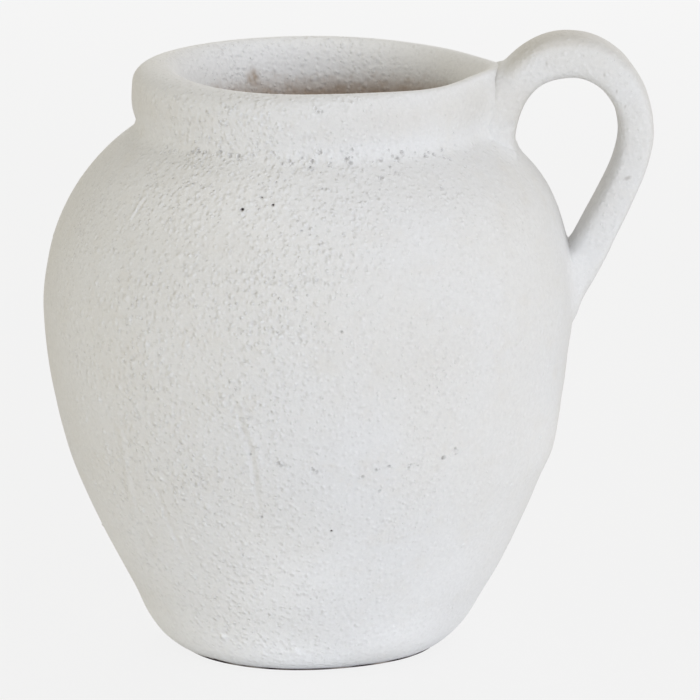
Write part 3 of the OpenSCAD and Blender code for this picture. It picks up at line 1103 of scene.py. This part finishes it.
def makeShoulder():
    bm = bmesh.new()
    pitch, inner, wall, neck = jug["pitch"], jug["innerPitch"], jug["wall"], jug["neck"]
    low = jug["seam"] + jug["slip"]
    throat = jug["throat"]
    pen = profilePen(bm, wallRadius(low), low)
    pen.arc(bellyX, bellyZ, -bellyTurn(low, 0), pitch)
    pen.arc(shoulderX, bellyZ, shoulderTurn(neck, 0), pitch)
    keyedSeat(pen, neck, wallRadius(neck), throat, jug["neckKey"])
    hole = bellyZ + math.sqrt((jug["shoulderCurve"] - wall) ** 2 - (throat - shoulderX) ** 2)
    pen.line(throat, hole, 1)
    pen.arc(shoulderX, bellyZ, -shoulderTurn(hole, wall), inner)
    pen.arc(bellyX, bellyZ, bellyTurn(low, wall), inner)
    keyedSeat(pen, low, wallRadius(low, wall), wallRadius(low), wallMiddle(low))
    lathe(bm)
    for vert in bm.verts:
        share = (shoulder["fixed"] - acrossOf(vert.co)) / (shoulder["fixed"] - throat)
        vert.co.x += jug["throatShift"] * ease(*shoulder["shiftRise"], vert.co.z) * clamp(share, 0, 1)
    shapeWall(bm)
    blendToHandle(bm)
    markSkin(bm, low, neck)
    bareInside(bm)
    finishPiece(bm, "shoulderWall", ["shoulder"], limewash)


# smeared slip over the two ring joints

smear = {
    "bellyReach": 6.0, "bellyRise": 0.06, "bellySunk": 0.01, "bellyPitch": 0.9, "bellyDepth": 2.0,
    "heel": 1.0,  # the buried side is this much shorter at each end
    "neckTuck": 0.0005, "neckPitch": 0.4,
    "neckDepths": (4.0, 3.0),  # at the shoulder, at the collar
}

# slip squeezed out inside, wiped to flat beads; the throat's ends lie off the throat and the neck
bead = {
    "reach": 4.0, "rise": 0.7, "sunk": 0.1, "tuck": 2.0, "steps": 8,
    "throatLow": (2.6, -1.1), "throatHigh": (0.1, 3.0), "throatRise": 2.2, "throatReach": 6.0,
    "throatDrawn": (207.5, 209.5), "throatBare": 0.42,
}


def innerBead(bm, low, high, rise):
    step = (high - low) / 3
    tuck = Vector((bead["tuck"], 0))
    near, far = low + step - Vector((rise, 0)), high - step - Vector((rise, 0))
    pen = profilePen(bm, *low)
    pen.curve(near, far, high, bead["steps"])
    pen.line(*(high + tuck), 2)
    pen.line(*(low + tuck), 2)
    pen.line(*low, 2)


def makeBellySmear():
    bm = bmesh.new()
    seam, reach = jug["seam"] + jug["slip"] / 2, smear["bellyReach"]
    a, b = [Vector((wallRadius(z) - smear["bellySunk"], z)) for z in (seam - reach, seam + reach)]
    middle = (a + b) / 2
    across = (b - a) / 2
    out = Vector((across.y, -across.x)).normalized()
    rise = wallRadius(seam) - middle.x + smear["bellyRise"]
    radius = (across.length_squared + rise * rise) / (2 * rise)
    centre = middle + out * (rise - radius)
    sweep = 2 * math.degrees(math.asin(across.length / radius))
    pen = profilePen(bm, *a)
    pen.arc(*centre, sweep, smear["bellyPitch"])
    pen.line(b.x - smear["bellyDepth"], b.y - smear["heel"], 4)
    pen.line(a.x - smear["bellyDepth"], a.y + smear["heel"], 6)
    pen.line(*a, 4)
    ends = (seam - bead["reach"], seam + bead["reach"])
    low, high = [Vector((wallRadius(z, jug["wall"]) + bead["sunk"], z)) for z in ends]
    innerBead(bm, low, high, bead["rise"])
    lathe(bm)
    shapeWall(bm)
    bareInside(bm)
    markSkin(bm, seam - reach, seam + reach)
    finishPiece(bm, "bellySmear", ["belly_slip"], slipWash)


def makeNeckSmear():
    bm = bmesh.new()
    tucked = 1 + smear["neckTuck"]
    first, last = [filletCentre + (end - filletCentre) * tucked for end in (filletLow, filletHigh)]
    sweep = math.degrees((filletLow - filletCentre).angle(filletHigh - filletCentre))
    atShoulder, atCollar = smear["neckDepths"]
    pen = profilePen(bm, *first)
    pen.arc(*filletCentre, -sweep, smear["neckPitch"])
    pen.line(last.x - atCollar, last.y - smear["heel"], 4)
    pen.line(first.x - atShoulder, first.y + smear["heel"], 4)
    pen.line(*first, 4)
    throat, neck = jug["throat"], jug["neck"]
    low, high = [Vector((throat + x, neck + z)) for x, z in (bead["throatLow"], bead["throatHigh"])]
    innerBead(bm, low, high, bead["throatRise"])
    lathe(bm)
    for vert in bm.verts:  # the bead follows the throat off the axis
        if acrossOf(vert.co) < throat + bead["throatReach"]:
            drawn = jug["throatPoint"] * mouthDrawn(angleOf(vert.co))
            vert.co.x += jug["throatShift"] + drawn * ease(*bead["throatDrawn"], vert.co.z)
    shapeWall(bm)
    blendToHandle(bm)
    bareInside(bm)
    bareAndDeepShade, = floatLayers(bm, "bareAndDeepShade")
    for vert in bm.verts:
        if math.hypot(vert.co.x - jug["throatShift"], vert.co.y) < throat + bead["throatReach"]:
            vert[bareAndDeepShade] = bead["throatBare"]
    markSkin(bm, filletLow.y, filletHigh.y)
    finishPiece(bm, "neckSmear", ["neck_slip"], slipWash)


# collar with its rolled rim and a mouth set off the axis

collar = {
    "seat": 69.06,
    "seatSlack": 0.1,
    "rim": 234.0,
    "rimRound": 8.0,
    "facePitch": 1.15,
    "rimPitch": 0.9,
    "throatTop": 211.0,  # the lip rolls over and down to here
    "lipPull": (0.58, 0.42),  # how far its curve keeps to the rim's height and to the throat
    "lipSteps": 26,
    "throatPitch": 1.2,
    "crestShift": 4.5,  # the rim's crest is shifted less than the throat
    "crestFade": 8.0,
    "crestRise": (222, 230),
    "waveRise": (222, 234),
    "deep": (230, 209),
    "lip": (10.0, -6.0),  # from the outer face to the mouth, off the rim's radius
    # the uneven rim: angle, its spread, height over the true rim
    "waves": [
        (14, 22, -0.2), (50, 22, -0.5), (-43, 24, -1.5), (-118, 36, -1.1), (105, 70, 0.9), (175, 45, 0.9),
    ],
}


def clayAndDepthShadeAt(co, angle, deep):
    # brown low in the mouth, darker deeper down as partly bare clay and partly painted shade, higher at the
    # back right, with specks over it and one bare spot
    start = Vector((3, 1, 5))
    patch = noise.noise(co * 0.13) + 0.7 * noise.noise(co * 0.4 + start)
    specks = noise.noise(co * 0.34) + 0.8 * noise.noise(co * 0.75 + start)
    top = 222.5 + 1.2 * patch + 2.5 * sideShare(angle, 42, 35)
    stained = 0.42 * clamp((top - co.z) / 11, 0, 1)
    speckled = 0.08 * ease(0.25, 0.9, specks + 0.4 * deep) * ease(231, 222, co.z)
    spot = math.exp(-(turnFrom(angle, 122) / 3.4) ** 4 - ((co.z - 222) / 4.2) ** 4)
    return stained + speckled + 0.15 * (1 + 0.5 * patch + 0.5 * specks) * spot


def paleAt(co, angle, lip, deep, high, fromRim):
    # painted light: pale in the mouth, most so at the back and least deep down, with a bright ring of painted
    # highlight and a dull ring of painted shade along the left lip
    mouth = lip * (1 - 0.6 * deep) * (0.66 + 0.34 * sideShare(angle, 115, 66))
    bright = 0.15 * math.exp(-((fromRim - 3.5) / 3.5) ** 2)
    dull = 0.6 * math.exp(-((fromRim + 2.5) / 2.5) ** 2)
    rings = (bright - dull) * high * sideShare(angle, 178, 42)
    return max(mouth + rings, 0) + (1 - lip) * washAndLightAt(co, 1)


def makeCollar():
    bm = bmesh.new()
    base = jug["neck"] + jug["slip"]
    throat, throatTop, rim = jug["throat"], collar["throatTop"], collar["rim"]
    x, z = jug["collarCentre"]
    rimZ = rim - collar["rimRound"]
    rimX = x + math.sqrt((jug["collarCurve"] - collar["rimRound"]) ** 2 - (rimZ - z) ** 2)
    join = math.degrees(math.atan2(rimZ - z, rimX - x))
    low = math.degrees(math.atan2(base - z, collar["seat"] - x))
    pen = profilePen(bm, collar["seat"], base)
    pen.arc(x, z, join - low, collar["facePitch"])
    pen.arc(rimX, rimZ, 90 - join, collar["rimPitch"])
    alongRim, alongThroat = collar["lipPull"]
    near = (rimX - alongRim * (rimX - throat), rim)
    far = (throat, rim - alongThroat * (rim - throatTop))
    pen.curve(near, far, (throat, throatTop), collar["lipSteps"])
    pen.line(throat, base, collar["throatPitch"])
    keyedSeat(pen, base, throat, collar["seat"], jug["neckKey"])
    lathe(bm)
    bareAndDeepShade, pale, wornAndShaded = floatLayers(bm, "bareAndDeepShade", "pale", "wornAndShaded")
    seatTop = base + collar["seatSlack"]
    crest, outerLip, innerLip = collar["crestShift"], rimX + collar["lip"][0], rimX + collar["lip"][1]
    for vert in bm.verts:
        co = vert.co.copy()
        across = acrossOf(co)
        angle = angleOf(co)
        high = ease(*collar["waveRise"], co.z)
        lip = ease(outerLip, innerLip, across)  # 0 on the outer face, 1 in the mouth
        drawn = mouthDrawn(angle)
        throatDrawn = jug["throatPoint"] * drawn
        deep = ease(*collar["deep"], co.z)
        if across < rimX and (co.z > seatTop or across < throat + collar["seatSlack"]):
            shift = crest + (jug["throatShift"] - crest) * deep
            shift += drawn * (jug["throatPoint"] + (1 - jug["throatPoint"]) * high)
            vert[bareAndDeepShade] = clayAndDepthShadeAt(co, angle, deep)
        elif co.z < seatTop:  # the seat is drawn across from the throat to its fixed outer edge
            shift = (jug["throatShift"] + throatDrawn) * (collar["seat"] - across) / (collar["seat"] - throat)
        else:
            shift = crest * ease(rimX + collar["crestFade"], rimX, across) * ease(*collar["crestRise"], co.z)
            shift += drawn * faceDrawn(co.z)
        vert[pale] = paleAt(co, angle, lip, deep, high, across - rimX)
        # darker inside the mouth towards the handle
        mouthDarkRight = lip * 0.28 * sideShare(angle, 14, 38)
        vert[wornAndShaded] = (1 - lip) * (wornAt(co) + washAndLightAt(co, -1)) + mouthDarkRight
        vert.co.x += shift
        vert.co.z += high * sum(tall * sideShare(angle, side, spread)
                                for side, spread, tall in collar["waves"])
    shapeWall(bm)
    blendToHandle(bm)
    markSkin(bm, base, rim)
    finishPiece(bm, "rolledCollar", ["collar"], limewash)


makeBowl()
makeShoulder()
makeCollar()
makeBellySmear()
makeNeckSmear()
print("jug made")


# floor, light

studio = {
    "floorSize": 6.0,
    "floorTone": (0.89, 0.892, 0.9),
    "shownTone": 0.899,
    "floorGlow": 0.94,  # share of the floor's tone that the camera sees without shadow
    "world": (0.528, 0.51, 0.475),
    "worldStrength": 1.0,
    "aim": (0.01, 0.0, 0.12),
    "lamps": [
        # name, place, size, watts, colour
        ("front", (0.3, -2.4, 0.5), 1.4, 15.8, (0.80, 0.87, 1.0)),
        ("frontRight", (1.7, -1.7, 0.5), 1.4, 12.8, (0.87, 0.90, 1.0)),
        ("rightHigh", (1.8, -0.4, 1.6), 1.4, 7.3, (1.0, 1.0, 1.0)),
        ("left", (-2.2, -0.6, 0.8), 1.4, 7.5, (1.0, 0.93, 0.66)),
        ("behind", (0.3, 2.3, 0.9), 1.4, 22.8, (1.0, 1.0, 1.0)),
    ],
}


def makeFloor():
    bm = bmesh.new()
    bmesh.ops.create_grid(bm, x_segments=2, y_segments=2, size=studio["floorSize"])
    mesh = bpy.data.meshes.new("floor")
    bm.to_mesh(mesh)
    bm.free()
    floor = bpy.data.objects.new("floor", mesh)
    scene.collection.objects.link(floor)
    material = bpy.data.materials.new("paleFloor")
    material.use_nodes = True
    tree = material.node_tree
    tree.nodes.clear()
    tone = studio["shownTone"]
    plain = node(tree, "ShaderNodeBsdfDiffuse", 0, 0, in_Color=(*studio["floorTone"], 1))
    glow = node(tree, "ShaderNodeEmission", 0, -1, in_Color=(tone, tone, tone, 1), in_Strength=1.0)
    rays = node(tree, "ShaderNodeLightPath", -2, 1)
    seen = math2(tree, "MAXIMUM", rays.outputs["Is Camera Ray"], rays.outputs["Is Glossy Ray"], -1, 1)
    share = math2(tree, "MULTIPLY", seen, studio["floorGlow"], 0, 1)
    both = node(tree, "ShaderNodeMixShader", 1, 0)
    tree.links.new(share, both.inputs[0])
    tree.links.new(plain.outputs[0], both.inputs[1])
    tree.links.new(glow.outputs[0], both.inputs[2])
    shown = node(tree, "ShaderNodeOutputMaterial", 2, 0)
    tree.links.new(both.outputs[0], shown.inputs[0])
    mesh.materials.append(material)


def lightStudio():
    world = bpy.data.worlds.new("studio")
    scene.world = world
    world.use_nodes = True
    sky = world.node_tree.nodes["Background"]
    sky.inputs[0].default_value = (*studio["world"], 1)
    sky.inputs[1].default_value = studio["worldStrength"]
    aim = Vector(studio["aim"])
    for name, place, size, watts, colour in studio["lamps"]:
        lamp = bpy.data.lights.new(name, "AREA")
        lamp.shape = "DISK"
        lamp.size = size
        lamp.energy = watts
        lamp.color = colour
        stand = bpy.data.objects.new(name, lamp)
        stand.location = place
        stand.rotation_euler = (aim - Vector(place)).to_track_quat("-Z", "Y").to_euler()
        scene.collection.objects.link(stand)


makeFloor()
lightStudio()
print("floor and lamps placed")
